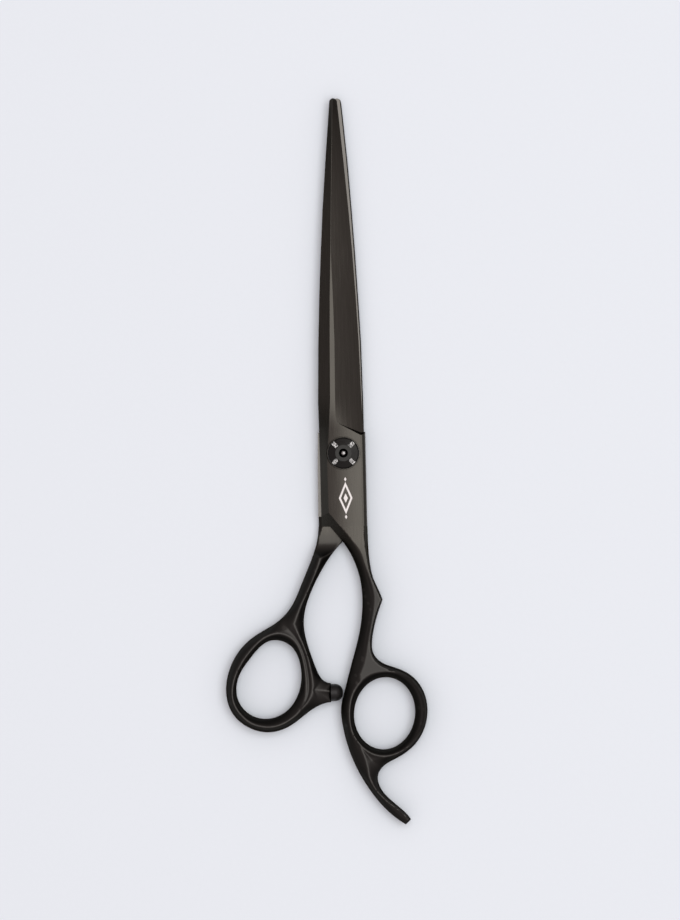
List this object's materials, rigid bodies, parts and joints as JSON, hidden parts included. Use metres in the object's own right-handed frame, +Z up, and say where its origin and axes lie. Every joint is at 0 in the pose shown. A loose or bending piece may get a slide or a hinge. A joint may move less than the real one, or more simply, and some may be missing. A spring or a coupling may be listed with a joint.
{
  "type": "hair cutting shears",
  "caption": "Offset-handle hair shears with finger rest, round tension dial and rubber bumper; the halves turn on a flush stud.",
  "frame": {"origin": "on the pivot axis, where it meets the flat back face on which the closed shears rest", "axes": "+Y runs along the closed blades to their tips, +Z runs up the pivot axis to the tension dial, and +X is the finger ring's side"},
  "size_m": [0.0577, 0.2089, 0.0088],
  "materials": {
    "blade_black": "fine ground steel under a thin black coating",
    "handle_black": "satin black coating on forged steel",
    "dial_black": "turned steel under a black coating",
    "stud_steel": "dark turned steel",
    "spring_steel": "bright rolled steel",
    "bearing_brass": "turned brass",
    "glide_plastic": "slippery plastic",
    "bumper_rubber": "moulded rubber"
  },
  "bodies": {
    "finger_half": {"finger_blade": "blade_black", "finger_handle": "handle_black", "pivot_bush": "bearing_brass"},
    "thumb_half": {"thumb_blade": "blade_black", "thumb_handle": "handle_black", "pivot_stud": "stud_steel", "glide_washer": "glide_plastic", "thrust_washer": "bearing_brass", "click_spring": "spring_steel", "bumper_stud": "spring_steel", "bumper_pad": "bumper_rubber"},
    "dial": {"adjuster_dial": "dial_black"}
  },
  "joints": [
    {"name": "pivot", "type": "hinge", "parent": "finger_half", "child": "thumb_half", "pos_m": [0, 0, 0.0034], "axis": [0, 0, -1], "range_deg": [0, 140]},
    {"name": "tension_dial", "type": "hinge", "parent": "thumb_half", "child": "dial", "pos_m": [0, 0, 0.0077], "axis": [0, 0, 1], "range_deg": [-180, 90]}
  ]
}
